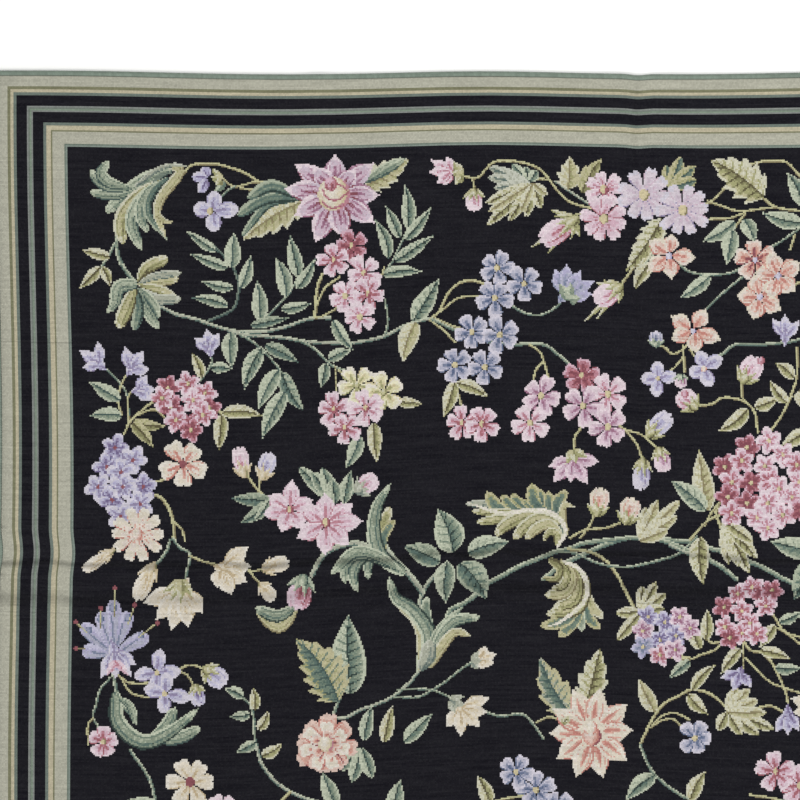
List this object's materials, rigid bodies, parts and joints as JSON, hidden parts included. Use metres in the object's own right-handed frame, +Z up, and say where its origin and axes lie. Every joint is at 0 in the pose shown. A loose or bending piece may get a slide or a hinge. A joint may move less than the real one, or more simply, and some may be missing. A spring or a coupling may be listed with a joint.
{
  "type": "floral wool rug",
  "caption": "Flat rectangular wool rug, black floral field inside sage, cream and black stripe borders, overcast edges.",
  "frame": {"origin": "on the floor under the middle of the rug", "axes": "+Z up through the worked face, +X across the rug to the picture's right, +Y along it to the picture's top"},
  "size_m": [2.4383, 3.048, 0.0108],
  "materials": {
    "wool_stitching": "matte wool needlework, black ground with floral colours",
    "edge_binding": "matte overcast wool, grey green"
  },
  "bodies": {
    "root": {"rug_cloth": "wool_stitching", "binding_left": "edge_binding", "binding_right": "edge_binding", "binding_top": "edge_binding", "binding_bottom": "edge_binding"}
  },
  "joints": []
}
